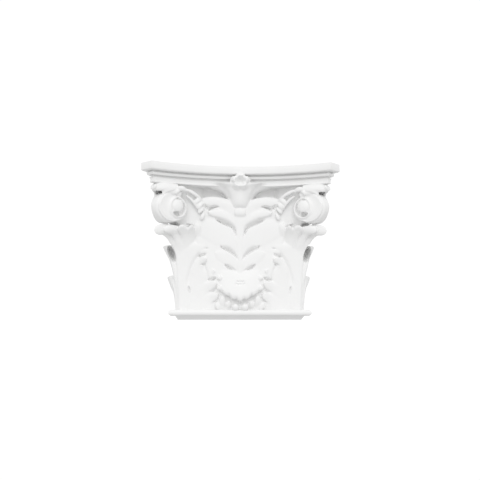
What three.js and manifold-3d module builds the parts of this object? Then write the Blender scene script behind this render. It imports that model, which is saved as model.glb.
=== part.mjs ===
// A Corinthian pilaster capital, cast in one piece.
//
// The bell is a block on the pilaster's plan with an astragal round its foot. An abacus with hollow
// sides and cut horns covers it. A broad acanthus leaf wraps each front corner, a volute stands
// over it under the horn, and the front carries a branching leaf, an overturned leaf at its foot
// and a flower on the abacus. The back is flat.
//
// Millimetres, +Z up, the front towards -Y. The origin is the middle of the bed that rests on the shaft.
import * as THREE from "three";
import { mergeVertices } from "three/addons/utils/BufferGeometryUtils.js";
import { LoftGeometry } from "three/addons/geometries/LoftGeometry.js";
import Module from "manifold-3d";

// Driving dimensions
const shaftHalf = 100; // half the width of the pilaster shaft
const bedHalf = 95.5; // half the width of the bed, inside the foot's chamfer
const bedDepth = 64; // from the wall to the bed's front edge
const height = 238;
const abacusHeight = 32;
const hornReach = 52; // how far a horn's front corner stands out from the shaft's face
const hornCut = 17; // the horn's cut, along each face
const abacusHollow = 36; // how deep each side of the abacus is curved in
const astragalFoot = 6; // height of the chamfered foot under the astragal
const astragalHeight = 9.5;
const astragalReach = 10;

const wall = bedDepth / 2; // the flat back
const shaftFront = -bedDepth / 2 - (shaftHalf - bedHalf); // the shaft's front face
const wallReach = shaftFront - wall; // the wall, as a reach from the shaft's front face
const abacusFoot = height - abacusHeight;
const bellFoot = astragalFoot + astragalHeight;

// A point by its place across the front, how far it reaches out from the shaft's front face, and
// its height
const at = (x, reach, z) => new THREE.Vector3(x, shaftFront - reach, z);
const outward = new THREE.Vector3(0, -1, 0);

const range = (count, make) => Array.from({ length: count }, (_, i) => make(i));
const mix = (a, b, share) => a + (b - a) * share;

// Solids

const wasm = await Module();
wasm.setup();

// A closed geometry as a solid, turned the right way round if a mirror has turned it
function solid(geometry) {
  const bare = new THREE.BufferGeometry();
  bare.setAttribute("position", geometry.getAttribute("position"));
  bare.setIndex(geometry.index);
  const merged = mergeVertices(bare, 1e-4);
  const corners = merged.index.array;
  const whole = [];
  for (let i = 0; i < corners.length; i += 3) {
    const [a, b, c] = corners.slice(i, i + 3);
    if (a !== b && b !== c && c !== a) whole.push(a, b, c);
  }
  const vertProperties = new Float32Array(merged.getAttribute("position").array);
  const make = (list) => {
    const triVerts = Uint32Array.from(list);
    return new wasm.Manifold(new wasm.Mesh({ numProp: 3, vertProperties, triVerts }));
  };
  const made = make(whole);
  return made.volume() > 0 ? made : make(whole.reverse());
}

// A closed skin over a row of rings, each ring wound so that the faces point out
function loft(rings) {
  const middle = (ring) =>
    ring.reduce((sum, p) => sum.add(p), new THREE.Vector3()).divideScalar(ring.length);
  const [first, next] = [middle(rings[0]), middle(rings[1])];
  const turn = new THREE.Vector3();
  rings[0].forEach((p, i) => {
    const q = rings[0][(i + 1) % rings[0].length];
    turn.add(p.clone().sub(first).cross(q.clone().sub(first)));
  });
  const wound = turn.dot(next.sub(first)) > 0 ? rings : rings.map((ring) => [...ring].reverse());
  return new LoftGeometry(wound, { capStart: true, capEnd: true });
}

// Mirrors: from the right half to the left, and from the front face round the right corner to the
// side face
const toLeft = new THREE.Matrix4().makeScale(-1, 1, 1);
const toSide = new THREE.Matrix4().set(
  0, -1, 0, shaftHalf + shaftFront,
  -1, 0, 0, shaftFront + shaftHalf,
  0, 0, 1, 0,
  0, 0, 0, 1,
);
const moved = (geometry, matrix) => new THREE.BufferGeometry().copy(geometry).applyMatrix4(matrix);
const bothHalves = (pieces) => pieces.flatMap((piece) => [piece, moved(piece, toLeft)]);
const bothFaces = (pieces) => pieces.flatMap((piece) => [piece, moved(piece, toSide)]);

// A leaf lobe: a lens-shaped finger along a curve, from its root, a share of its full width, to its
// blunt tip. It rises from the curve towards `facing` and sinks as far behind it, into what carries
// it.
const lobeSteps = 4;
const lobeSides = 4;
const lobeTip = 0.36;
const lobeSwell = (s, root) => mix(root, lobeTip, s ** 4) + (1 - root) * Math.sin(Math.PI * s ** 0.9) ** 0.8;

function lobe(path, half, rise, root = 0.45, facing = outward, steps = lobeSteps) {
  const curve = new THREE.CatmullRomCurve3(path.map((p) => at(...p)));
  return loft(
    range(steps + 1, (i) => {
      const s = i / steps;
      const middle = curve.getPoint(s);
      const along = curve.getTangent(s);
      const across = new THREE.Vector3().crossVectors(along, facing).normalize();
      const up = new THREE.Vector3().crossVectors(across, along).normalize();
      const swell = lobeSwell(s, root);
      return range(lobeSides, (k) => {
        const turn = (k / lobeSides + 0.25) * 2 * Math.PI;
        return middle
          .clone()
          .addScaledVector(across, half * swell * Math.cos(turn))
          .addScaledVector(up, rise * swell * Math.sin(turn));
      });
    }),
  );
}
const lobes = (rows, root) => rows.map(([path, half, rise]) => lobe(path, half, rise, root));

// The bell and its foot: square rings that step out and in round the same plan

const bellProfile = [
  [bedHalf - shaftHalf, 0],
  [-2.6, 2.4],
  [0, astragalFoot],
  ...range(6, (i) => {
    const turn = Math.PI * (i / 5 - 0.5);
    const across = astragalReach / 2;
    const up = astragalHeight / 2;
    return [across + across * Math.cos(turn), astragalFoot + up + up * Math.sin(turn)];
  }),
  [-5, bellFoot + 0.5],
  [-7, 60],
  [-8, 120],
  [-8, 186],
  [-4, 200],
  [-4, abacusFoot + 4],
];

function bell() {
  return loft(
    bellProfile.map(([out, z]) => [
      new THREE.Vector3(-shaftHalf - out, wall, z),
      at(-shaftHalf - out, out, z),
      at(shaftHalf + out, out, z),
      new THREE.Vector3(shaftHalf + out, wall, z),
    ]),
  );
}

// The abacus: hollow-sided rings, each set in from the top's outline

const hornFace = 2 * hornReach - hornCut; // the cut horn is where the overhang plus the reach come to this
const hollowHalf = shaftHalf + hornReach - hornCut;
const hollowRadius = (hollowHalf ** 2 + abacusHollow ** 2) / (2 * abacusHollow);
const hollowCentre = hornReach - abacusHollow + hollowRadius; // as a reach, in front of the face
const frontSteps = 14;
const sideSteps = 4;

const abacusProfile = [
  [14.5, abacusFoot],
  [13, abacusFoot + 1.5],
  [14, abacusFoot + 8],
  [12.4, abacusFoot + 12.6],
  [9.6, abacusFoot + 14.4],
  [9.6, abacusFoot + 16.6],
  [1.2, abacusFoot + 20.2],
  [0, abacusFoot + 21.6],
  [0, height - 1.2],
  [1.2, height],
];

// One ring of the abacus, from the wall round the left horn, along the front and back to the wall
function abacusRing([inset, z]) {
  const radius = hollowRadius + inset;
  const hornTurn = Math.PI / 4
    + Math.asin((hornFace + shaftHalf - hollowCentre - inset * Math.SQRT2) / (radius * Math.SQRT2));
  const wallTurn = Math.asin((shaftHalf + wallReach) / radius);
  const overhang = (turn) => radius * Math.sin(turn) - shaftHalf;
  const reach = (turn) => hollowCentre - radius * Math.cos(turn);
  const sideTurns = range(sideSteps + 1, (i) => mix(wallTurn, hornTurn, i / sideSteps));
  const frontTurns = range(frontSteps + 1, (i) => mix(-hornTurn, hornTurn, i / frontSteps));
  const right = sideTurns.map((turn) => at(shaftHalf + reach(turn), overhang(turn), z));
  const left = right.map((p) => new THREE.Vector3(-p.x, p.y, p.z));
  const front = frontTurns.map((turn) => at(radius * Math.sin(turn), reach(turn), z));
  return [...left, ...front, ...right.reverse()];
}
const abacus = () => loft(abacusProfile.map(abacusRing));

// The corner leaf: its section, from the foot up the outer face, over the tip and down the back,
// carried round the corner. The section stands out most at the corner and dies into both faces.

const leafTop = 143.5;
const leafSection = [
  [-9, bellFoot],
  [-3.5, bellFoot],
  [-3, 50],
  [0, 85],
  [4, 106],
  [11, 122],
  [19, 130],
  [25, 130],
  [29, 128],
  [31, 133],
  [29, 139],
  [21, leafTop],
  [8, leafTop],
  [-9, 138],
];
const leafHalf = 34; // the leaf's spread along each face
const leafSteps = 6; // stations on each face
const cornerRound = 26; // how far along a face the outward direction is still turning

function cornerLeaf() {
  const stations = range(2 * leafSteps + 1, (i) => (i / leafSteps - 1) * leafHalf);
  return loft(
    stations.map((along) => {
      const share = Math.abs(along) / leafHalf;
      const flare = Math.cos((share * Math.PI) / 2.6);
      const turn = Math.max(0, 1 - Math.abs(along) / cornerRound);
      const aside = turn * turn * (3 - 2 * turn);
      return leafSection.map(([out, z]) => {
        const stood = out > 0 ? out * flare : out;
        const lean = along < 0 ? [stood, stood * aside] : [stood * aside, stood];
        const [x, reach] = along < 0 ? [shaftHalf, along] : [shaftHalf - along, 0];
        return at(x + lean[0], reach + lean[1], z);
      });
    }),
  );
}

// Lobes on the leaf's front half, each as its route and then its half width and rise
const leafLobes = [
  [[[90, -4, 56], [82, 1, 88], [69, 9, 106], [55, 18, 113]], 15, 6],
  [[[80, -4, 30], [63, 4, 62], [39, 12, 77]], 11, 7],
  [[[76, -4, 18], [59, 4, 44], [38, 13, 58]], 10, 7],
  [[[68, -4, 12], [53, 3, 28], [36, 9, 38]], 9, 6],
];

// One more on the front alone, where the side's leaf is too near the wall to show it
const innerLobe = [[[82, -4, 46], [68, 3, 80], [52, 11, 94]], 10, 6];

// Rounded fingers along the curled tip, by their place along the face from the corner
const fingerPlaces = [0, 13, 25];
function leafFingers() {
  return fingerPlaces.map((along) => {
    const flare = Math.cos(((along / leafHalf) * Math.PI) / 2.6);
    const turn = Math.max(0, 1 - along / cornerRound);
    const aside = turn * turn * (3 - 2 * turn);
    const place = (out, z) => [shaftHalf - along + out * flare * aside, out * flare, z];
    const facing = new THREE.Vector3(aside, -1, 0.6).normalize();
    return lobe([place(18, 142), place(28, 139.5), place(30.5, 132), place(27.5, 126)], 7, 4, 0.7, facing);
  });
}

// The volutes: a wedge between a spiral on the front and its mirror image on the side, with a
// raised edge and an eye

const eyeX = 97;
const eyeReach = 22;
const eyeZ = 171;
const eyeRadius = 6.5;
const scrollTurns = 1.75;
const scrollRadius = (turn) => 7 + 25 * (1 - turn / 2) ** 1.75; // after so many turns from the top
const scrollMost = 28.5; // the outer turn is held to this
const scrollEdge = 2.6;
const scrollSteps = 8; // for each turn
const scrollTilt = Math.PI / 6; // the spiral's face follows the abacus here
const faceAcross = new THREE.Vector3(Math.cos(scrollTilt), -Math.sin(scrollTilt), 0);
const faceOut = new THREE.Vector3(-Math.sin(scrollTilt), -Math.cos(scrollTilt), 0);

// A point of the spiral's face, by turns from the top, by radius and by how far it stands out
function onScroll(turn, radius, out) {
  const angle = Math.PI / 2 - turn * 2 * Math.PI;
  return at(eyeX, eyeReach, eyeZ)
    .addScaledVector(faceAcross, radius * Math.cos(angle))
    .addScaledVector(faceOut, out)
    .add(new THREE.Vector3(0, 0, radius * Math.sin(angle)));
}

function scrollBlock() {
  const front = range(2 * scrollSteps, (i) => {
    const turn = i / (2 * scrollSteps);
    return onScroll(turn, Math.min(scrollRadius(turn), scrollMost), -2);
  });
  const side = front.map((p) => p.clone().applyMatrix4(toSide));
  const middle = front.map((p, i) => {
    const waist = p.clone().add(side[i]).multiplyScalar(0.5);
    return waist.addScaledVector(new THREE.Vector3(-1, 1, 0).normalize(), 2.5);
  });
  return loft([front, middle, side]);
}

function scrollRidge() {
  const count = Math.round(scrollTurns * scrollSteps);
  return loft(
    range(count + 1, (i) => {
      const turn = (i / count) * scrollTurns;
      const edge = scrollEdge * mix(1, 0.6, i / count);
      const radius = Math.min(scrollRadius(turn), scrollMost) - edge;
      return [
        onScroll(turn, radius - edge, -4),
        onScroll(turn, radius - edge * 0.5, 2.5),
        onScroll(turn, radius + edge * 0.6, 2.5),
        onScroll(turn, radius + edge, -4),
      ];
    }),
  );
}

function scrollEye() {
  const dome = [
    [1, -2],
    [0.9, 3],
    [0.4, 5],
  ];
  return loft(dome.map(([share, out]) => range(8, (k) => onScroll(k / 8, eyeRadius * share, out))));
}

// The stalk that feeds the volute, and the small leaf that lies along it to the horn
const stalkLobes = [
  [[[48, -4, 140], [66, 4, 170], [84, 13, 192], [100, 23, 198]], 9, 6],
  [[[52, 3, 158], [66, 10, 178], [80, 17, 195], [98, 27, 201]], 5.5, 5],
  [[[94, 22, 199], [108, 31, 203], [124, 39, 202]], 6.5, 5],
];

// The web behind each volute, from the leaf's tip up to the horn: outlines between the bell and the
// volute's edge
const webLevels = [
  [12, leafTop - 12],
  [3, leafTop + 6],
  [0, eyeZ],
  [-1, abacusFoot - 10],
  [-4, abacusFoot + 2],
];
function scrollWeb() {
  return loft(
    webLevels.map(([inset, z]) => {
      const front = [at(58, -9, z), at(64, -5, z), at(116 - inset, 30 - inset, z)];
      const side = front.map((p) => p.clone().applyMatrix4(toSide));
      return [...front, ...side.reverse()];
    }),
  );
}

// The branching leaf up the middle of the front: a raised sheet whose top dips to the middle, the
// crowned lobes of its right half, its stem, and the drop-shaped hollows that part one lobe from
// the next

const sheetBack = -9;
const sheetReach = 2;
function branchSheet() {
  const outline = new THREE.Shape();
  outline.moveTo(0, 60).lineTo(48, 60).lineTo(68, 100).lineTo(70, 182);
  outline.quadraticCurveTo(44, 197, 14, 181).lineTo(-14, 181);
  outline.quadraticCurveTo(-44, 197, -70, 182).lineTo(-68, 100).lineTo(-48, 60);
  const depth = sheetReach - sheetBack;
  const sheet = new THREE.ExtrudeGeometry(outline, { depth, bevelEnabled: false, curveSegments: 6 });
  return sheet.rotateX(Math.PI / 2).translate(0, shaftFront - sheetBack, 0);
}

const branchLobes = [
  [[[0, -4, 80], [17, 2, 92], [35, 6, 102]], 9, 6],
  [[[0, -5, 110], [20, 0, 125], [42, 3, 137], [66, 3, 146]], 18, 8],
  [[[8, -2, 166], [20, 2, 180], [44, 4, 185], [66, 5, 182]], 9, 6],
];
const branchHollows = [
  [[[5, 4, 74], [15, 4, 79], [28, 4, 88]], 5, 10],
  [[[4, 4, 93], [15, 4, 102], [33, 4, 117]], 5.5, 10],
  [[[7, 4, 131], [18, 4, 149], [45, 4, 161]], 5.5, 10],
  [[[33, 5, 174], [43, 5, 177], [57, 5, 177]], 4.5, 10],
  [[[62, 9, 97], [57, 9, 102], [50, 9, 107]], 4, 10],
];
const stem = () => lobe([[0, -4, 60], [0, 1, 90], [0, 1, 130], [0, 3, 160], [0, 8, 168]], 7.5, 5.5);

// The overturned leaf at the foot: its section, from the back over the fold to the hanging lip,
// carried across

const bibSection = [
  [-9, 70],
  [4, 77],
  [14, 73],
  [21, 63],
  [24.5, 48],
  [24, 36],
  [21.5, 28],
  [17, 31],
  [12, 46],
  [-9, 54],
];
const bibHalf = 35;
const bibSteps = 6; // stations on each half
const bibLip = 28;
const bibFold = 77;
const bibRise = 17; // how much higher the lip is at the sides
const bibDroop = 14; // how much lower the fold is there
const bibFlare = (share) => Math.sqrt(1 - 0.82 * share * share);

function bib() {
  return loft(
    range(2 * bibSteps + 1, (i) => {
      const share = i / bibSteps - 1;
      return bibSection.map(([reach, z]) => {
        const hang = (bibFold - z) / (bibFold - bibLip);
        const stood = reach > 0 ? reach * bibFlare(share) : reach;
        return at(bibHalf * share, stood, z + mix(-bibDroop, bibRise, hang) * share * share);
      });
    }),
  );
}

const scallops = 5;
function bibScallops() {
  return range(scallops, (i) => {
    const share = ((i + 0.5) / scallops) * 2 - 1;
    const x = bibHalf * share;
    const flare = bibFlare(share);
    const lip = bibLip + bibRise * share * share;
    const path = [
      [x * 0.86, 22 * flare, lip + 18],
      [x * 0.95, 24 * flare, lip + 7],
      [x, 20 * flare, lip - 1.5],
    ];
    return lobe(path, 8, 3.5);
  });
}
const bibLeaves = [
  [[[10, -4, 16], [24, 3, 25], [34, 8, 34]], 7, 5],
];

// The flower on the abacus and the spread calyx that carries it

const calyxLobes = [
  [[[3, -2, 172], [10, 8, 192], [24, 15, 205], [39, 15, 214]], 9, 6],
];
const calyxBelly = () => lobe([[0, -4, 170], [0, 9, 188], [0, 17, 202], [0, 20, 210]], 14, 7);
const petalTurns = [90, 42, 138, -6, 186].map(THREE.MathUtils.degToRad);
const flowerZ = 213;

function flower() {
  return petalTurns.map((turn) => {
    const place = (radius, reach) =>
      [radius * Math.cos(turn), reach, flowerZ + radius * 0.86 * Math.sin(turn)];
    return lobe([place(0, 16), place(8, 22), place(15, 26)], 7, 4.5);
  });
}

// The whole capital, joined and then cut flat at the wall

const rightCorner = [
  cornerLeaf(),
  ...leafFingers(),
  ...leafFingers().slice(1).map((piece) => moved(piece, toSide)),
  scrollBlock(),
  scrollWeb(),
  ...bothFaces([...lobes(leafLobes, 0.8), scrollRidge(), scrollEye(), ...lobes(stalkLobes, 0.6)]),
  lobe(...innerLobe, 0.8),
];
const pieces = [
  bell(),
  abacus(),
  ...bothHalves(rightCorner),
  ...bothHalves([...lobes(branchLobes, 0.95), ...lobes([...bibLeaves, ...calyxLobes], 0.6)]),
  branchSheet(),
  stem(),
  bib(),
  ...bibScallops(),
  calyxBelly(),
  ...flower(),
];
const behindWall = new THREE.BoxGeometry(4 * shaftHalf, 2 * shaftHalf, 2 * height);
behindWall.translate(0, wall + shaftHalf, height / 2);

const cuts = [behindWall, ...bothHalves(lobes(branchHollows, 0.15))];

const joined = pieces.map(solid).reduce((sum, piece) => sum.add(piece));
const whole = cuts.map(solid).reduce((rest, cut) => rest.subtract(cut), joined);
const mesh = whole.getMesh();
const geometry = new THREE.BufferGeometry();
geometry.setAttribute("position", new THREE.BufferAttribute(new Float32Array(mesh.vertProperties), 3));
geometry.setIndex(new THREE.BufferAttribute(mesh.triVerts, 1));
geometry.computeVertexNormals();

const plaster = new THREE.MeshStandardMaterial({ color: 0xf1f1ef, roughness: 0.62, metalness: 0 });
const capital = new THREE.Mesh(geometry, plaster);
capital.name = "capital";

const part = new THREE.Group();
part.add(capital);
export default part;
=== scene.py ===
"""A Corinthian pilaster capital, cast in white plaster, on a pale studio floor.

The carving is worked out as numpy surfaces in millimetres: x across the front, reach out from the
shaft's front face, and z up from the bed. The surfaces are fused into one casting, as plaster in a
mould would be, and joined to the run mouldings of the bell and the abacus.
"""

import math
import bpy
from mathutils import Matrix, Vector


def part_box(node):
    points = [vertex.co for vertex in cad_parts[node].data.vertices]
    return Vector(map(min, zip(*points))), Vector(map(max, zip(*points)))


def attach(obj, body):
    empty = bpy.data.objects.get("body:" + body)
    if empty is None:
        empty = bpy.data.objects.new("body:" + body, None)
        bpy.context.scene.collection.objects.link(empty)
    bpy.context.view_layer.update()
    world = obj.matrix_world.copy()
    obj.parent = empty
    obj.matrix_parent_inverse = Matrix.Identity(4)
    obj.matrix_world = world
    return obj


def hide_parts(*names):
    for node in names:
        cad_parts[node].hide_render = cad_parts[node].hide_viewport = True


bl_info = {
    "name": "Corinthian pilaster capital",
    "version": (1, 0, 0),
    "blender": (4, 5, 0),
    "location": "3D View > Sidebar > Capital",
    "description": "Casts a white plaster pilaster capital and sets it on a pale stage",
    "category": "Object",
}

from collections import namedtuple
from types import SimpleNamespace

import bpy
import numpy as np
from bpy.props import FloatProperty, FloatVectorProperty, IntProperty, PointerProperty
from mathutils import Vector

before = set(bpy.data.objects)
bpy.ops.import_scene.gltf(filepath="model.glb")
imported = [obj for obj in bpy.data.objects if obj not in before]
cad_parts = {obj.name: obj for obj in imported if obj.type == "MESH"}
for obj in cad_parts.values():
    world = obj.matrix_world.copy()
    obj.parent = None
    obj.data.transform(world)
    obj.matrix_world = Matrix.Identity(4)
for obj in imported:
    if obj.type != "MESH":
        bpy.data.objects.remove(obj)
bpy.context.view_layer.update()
_, NODE_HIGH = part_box("capital")

MM = 0.001
SHAFT_HALF = 0.100
BED_HALF = 0.0955


# Sizes and colours that a user would change


def length(name, description, default):
    """A size in metres, shown in the scene's own unit."""
    return FloatProperty(
        name=name, description=description, default=default, unit="LENGTH", precision=4
    )


def tint(name, description, default):
    """A colour, picked from a colour field."""
    return FloatVectorProperty(
        name=name, description=description, default=default, subtype="COLOR", size=3
    )


class CapitalSizes(bpy.types.PropertyGroup):
    """The capital's driving dimensions."""

    shaft_half: length("Shaft half width", "Half the width of the pilaster shaft", SHAFT_HALF)
    bed_half: length("Bed half width", "Half the width of the bed, inside the chamfer", BED_HALF)
    wall: length("Wall", "The flat back, from the middle of the bed", NODE_HIGH.y)
    height: length("Height", "From the bed to the top of the abacus", NODE_HIGH.z)
    abacus_height: length("Abacus height", "Height of the abacus with its mouldings", 0.032)
    horn_reach: length(
        "Horn reach", "How far a horn stands out from the shaft's face", NODE_HIGH.x - SHAFT_HALF
    )
    horn_cut: length("Horn cut", "The cut across a horn, along each face", 0.017)
    hollow: length("Abacus hollow", "How deep each side of the abacus is curved in", 0.036)
    foot: length("Foot height", "Height of the chamfered foot under the astragal", 0.006)
    astragal: length("Astragal height", "Height of the half-round astragal", 0.0095)
    astragal_reach: length("Astragal reach", "How far the astragal stands out", 0.010)
    voxel: length("Casting grain", "Grid on which the carving is fused", 0.0008)
    triangles: IntProperty(
        name="Triangles", description="Triangles kept in the carving", default=170000
    )


class PlasterLook(bpy.types.PropertyGroup):
    """The finish of the plaster."""

    colour: tint("Plaster", "Colour of the dry plaster", (0.87, 0.87, 0.867))
    # Dust and painted shade: mixed in where the carving lies deep, so the hollows come out darker
    # as if shade fell there
    dust_and_shade: tint("Dust and shade", "Colour in the deep hollows", (0.76, 0.76, 0.755))
    roughness: FloatProperty(
        name="Roughness", description="Base roughness", default=0.58, min=0, max=1
    )


class StageLook(bpy.types.PropertyGroup):
    """The camera and the floor."""

    lens: FloatProperty(
        name="Lens", description="Focal length in millimetres on a 36 mm sensor", default=50.0
    )
    distance: length("Distance", "From the camera to the shaft's front face", 1.036)
    eye_height: length("Eye height", "Height of the camera over the floor", 0.008)
    aim_height: length("Aim height", "Height at the picture's middle", 0.124)
    azimuth: FloatProperty(
        name="Azimuth", description="Camera's turn to the right", default=math.radians(-2.5),
        subtype="ANGLE"
    )
    floor: tint("Floor", "Colour of the floor", (0.93, 0.93, 0.93))


def sizes_mm(context):
    """The sizes in millimetres, with those that follow from them."""
    props = context.scene.capital_sizes
    names = [name for name in CapitalSizes.__annotations__ if name != "triangles"]
    s = SimpleNamespace(**{name: getattr(props, name) / MM for name in names})
    s.triangles = props.triangles
    s.front = -s.wall - (s.shaft_half - s.bed_half)
    s.wall_reach = s.front - s.wall
    s.abacus_foot = s.height - s.abacus_height
    s.bell_foot = s.foot + s.astragal
    return s


# Curves and skins

Skin = namedtuple("Skin", "points quads ends")


def smooth(t):
    """Rises from 0 to 1 along 3t² - 2t³."""
    t = np.clip(t, 0.0, 1.0)
    return t * t * (3 - 2 * t)


def ramp(value, start, over):
    """A smooth step from 0 at the start to 1 a stretch further on, or back if it is negative."""
    return smooth((value - start) / over)


def hump(value, middle, width):
    """A bell curve: e to the minus square of the distance from the middle over the width."""
    return np.exp(-(((value - middle) / width) ** 2))


def mix(a, b, share):
    """The value that lies a share of the way from a to b."""
    return a + (b - a) * share


def soft_max(a, b, round_off):
    """The greater of two heights, the crease rounded: half of a + b + root((a - b)² + r²)."""
    return 0.5 * (a + b + np.sqrt((a - b) ** 2 + round_off**2))


def spline(points, count):
    """Points along a smooth curve through the given ones: cubics on chord length."""
    p = np.asarray(points, float)
    chord = np.concatenate([[0.0], np.cumsum(np.linalg.norm(np.diff(p, axis=0), axis=1))])
    slope = np.gradient(p, chord, axis=0)
    along = np.linspace(0.0, chord[-1], count)
    k = np.clip(np.searchsorted(chord, along, side="right") - 1, 0, len(p) - 2)
    span = (chord[k + 1] - chord[k])[:, None]
    u = (along - chord[k])[:, None] / span
    start = (1 + 2 * u) * (1 - u) ** 2 * p[k] + u * (1 - u) ** 2 * span * slope[k]
    end = u * u * (3 - 2 * u) * p[k + 1] + u * u * (u - 1) * span * slope[k + 1]
    return start + end


def xyz(*parts):
    """Points from their coordinates, each an array or one value."""
    return np.stack(np.broadcast_arrays(*parts), axis=-1)


def unit(v):
    """Vectors along the last axis, made one long."""
    return v / np.maximum(np.linalg.norm(v, axis=-1, keepdims=True), 1e-9)


def loft(rings):
    """A closed skin over n rings of m points: quads between neighbours, one face over each end."""
    rings = np.asarray(rings, float)
    n, m = rings.shape[:2]
    index = np.arange(n * m).reshape(n, m)
    beside = np.roll(index, -1, axis=1)
    quads = np.stack([index[:-1], beside[:-1], beside[1:], index[1:]], axis=-1).reshape(-1, 4)
    return Skin(rings.reshape(-1, 3), quads, np.stack([index[0][::-1], index[-1]]))


def round_corner(s, points):
    """Points mirrored round the right corner: the overhang x - half and the reach change places."""
    x, reach, z = np.moveaxis(points, -1, 0)
    return xyz(s.shaft_half + reach, x - s.shaft_half, z)


def to_side(s, skin):
    """The skin's mirror image round the right corner."""
    return skin._replace(points=round_corner(s, skin.points))


def both_halves(skins):
    """The skins and their mirror images on the left, where x changes sign."""
    return skins + [skin._replace(points=skin.points * (-1, 1, 1)) for skin in skins]


def facing_out(points, quads, ends):
    """Turns the faces round where the skin's signed volume is negative."""
    hub = np.repeat(ends[:, :1], ends.shape[1] - 2, axis=1)
    fans = np.stack([hub, ends[:, 1:-1], ends[:, 2:]], axis=-1)
    corners = np.concatenate([quads[:, [0, 1, 2]], quads[:, [0, 2, 3]], fans.reshape(-1, 3)])
    a, b, c = (points[corners[:, i]] for i in range(3))
    volume = np.einsum("ij,ij->", a, np.cross(b, c))
    return (quads, ends) if volume > 0 else (quads[:, ::-1], ends[:, ::-1])


def add_object(name, data):
    """A new object in the scene."""
    obj = bpy.data.objects.new(name, data)
    bpy.context.scene.collection.objects.link(obj)
    return obj


def mesh_object(s, name, skins):
    """One object that holds all the skins, in metres in the capital's frame."""
    points, corners, counts, first = [], [], [], 0
    for skin in skins:
        x, reach, z = skin.points.T
        world = xyz(x, s.front - reach, z) * MM
        quads, ends = facing_out(world, skin.quads, skin.ends)
        points.append(world)
        corners += [quads.ravel() + first, ends.ravel() + first]
        counts += [np.full(len(quads), 4), np.full(len(ends), ends.shape[1])]
        first += len(world)
    points, corners, counts = (np.concatenate(part) for part in (points, corners, counts))
    starts = np.cumsum(counts) - counts
    mesh = bpy.data.meshes.new(name)
    mesh.vertices.add(len(points))
    mesh.vertices.foreach_set("co", points.ravel())
    mesh.loops.add(len(corners))
    mesh.loops.foreach_set("vertex_index", corners.astype(np.int32))
    mesh.polygons.add(len(counts))
    mesh.polygons.foreach_set("loop_start", starts.astype(np.int32))
    mesh.update(calc_edges=True)
    return add_object(name, mesh)


# A carved lobe, in the round

LOBE_FULL = 0.6  # where along its length a lobe is widest
LOBE_TIP = 0.02  # the least width at its tip, as a share
LOBE_STEPS, LOBE_SIDES = 44, 28


def swell(t, root):
    """A lobe's width along its length: from the root's share up to 1, then round to nothing."""
    grow = root + (1 - root) * ramp(t, 0, LOBE_FULL)
    past = np.clip(t - LOBE_FULL, 0, 1) / (1 - LOBE_FULL)
    close = np.sqrt(np.clip(1 - past**2, 0, 1))
    return grow * np.maximum(close, LOBE_TIP)


def lobe(path, half, rise, root=0.5, cup=0.0, facing=(0.0, 1.0, 0.0)):
    """A lens-shaped finger carried along a curve.

    Its section is an ellipse of half width `half` and half height `rise`, both times the swell. Its
    upper side sinks by `cup` times the rise, as a squared cosine across, and leaves a raised rim.
    """
    middle = spline(path, LOBE_STEPS)
    along = unit(np.gradient(middle, axis=0))
    across = unit(np.cross(along, np.asarray(facing, float)))
    up = np.cross(across, along)
    width = swell(np.linspace(0, 1, LOBE_STEPS), root)[:, None]
    turn = np.linspace(0, 2 * np.pi, LOBE_SIDES, endpoint=False)
    sunk = np.cos(np.cos(turn) * np.pi / 2) ** 2
    over = np.sin(turn) - cup * np.clip(np.sin(turn), 0, 1) * sunk
    wide = (half * width * np.cos(turn))[..., None] * across[:, None]
    high = (rise * width * over)[..., None] * up[:, None]
    return loft(middle[:, None] + (wide + high))


def lobes(rows, **shape):
    """The lobes of a table of paths, half widths, rises and, where they vary, roots and cups."""
    return [lobe(*row, **shape) for row in rows]


# The bell's relief: heights over the shaft's faces, by the place round the plan and the height

Stroke = namedtuple("Stroke", "path half low high crown")
Fold = namedtuple("Fold", "path half depth")

# A step's pair holds where it starts and how far on it is complete, as ramp takes them.
BELL = -8.0
RECESS = -12.5  # the bell under the abacus
BELL_STEP = (184, 9)  # the heights over which the bell draws in to its recess
GROUND = -1.0  # what the corner leaves lie on
GROUND_END = (116, 14)  # the heights over which it falls back to the bell
GROUND_MIDDLE = (37, -6)  # towards the middle it lies as low as the bell
GROUND_LOW = (60, 8)
CORNER_ROUND = 26.0  # how far along a face the outward direction is still turning
CHAMFER = [(7.4, 15), (5.5, 50), (4.0, 85), (2.5, 100), (0.0, 114)]  # width of the corner's cut

LEAF_PROFILE = [(0.3, 15), (0.5, 50), (1.2, 85), (2.2, 100), (2.8, 110), (3.0, 120), (2.0, 128)]
LEAF_BODY = [(-0.5, 15), (0.0, 60), (1.2, 85), (1.2, 105), (0.0, 122)]
LEAF_INNER = [(44, 15), (46, 40), (50, 60), (56, 80), (64, 100), (70, 112), (72, 126)]
LEAF_END = (135, -24)
BODY_EDGE = (-5, 10)  # across the leaf's inner outline
BLADE_EDGE = (-5, 8)  # across the groove
LEAF_GROOVE = [(82, 46), (80.5, 58), (78, 70), (71, 89), (62, 102), (54, 110)]
GROOVE_DEPTH, GROOVE_WIDTH, GROOVE_MARGIN = 3.0, 3.2, 8
GROOVE_FROM, GROOVE_TO = (0, 0.25), (1.04, -0.25)
LEAF_ROOT, BRANCH_ROOT, BUD_ROOT = 0.8, 0.95, 0.6  # width of the lobes at their roots, as a share

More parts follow.
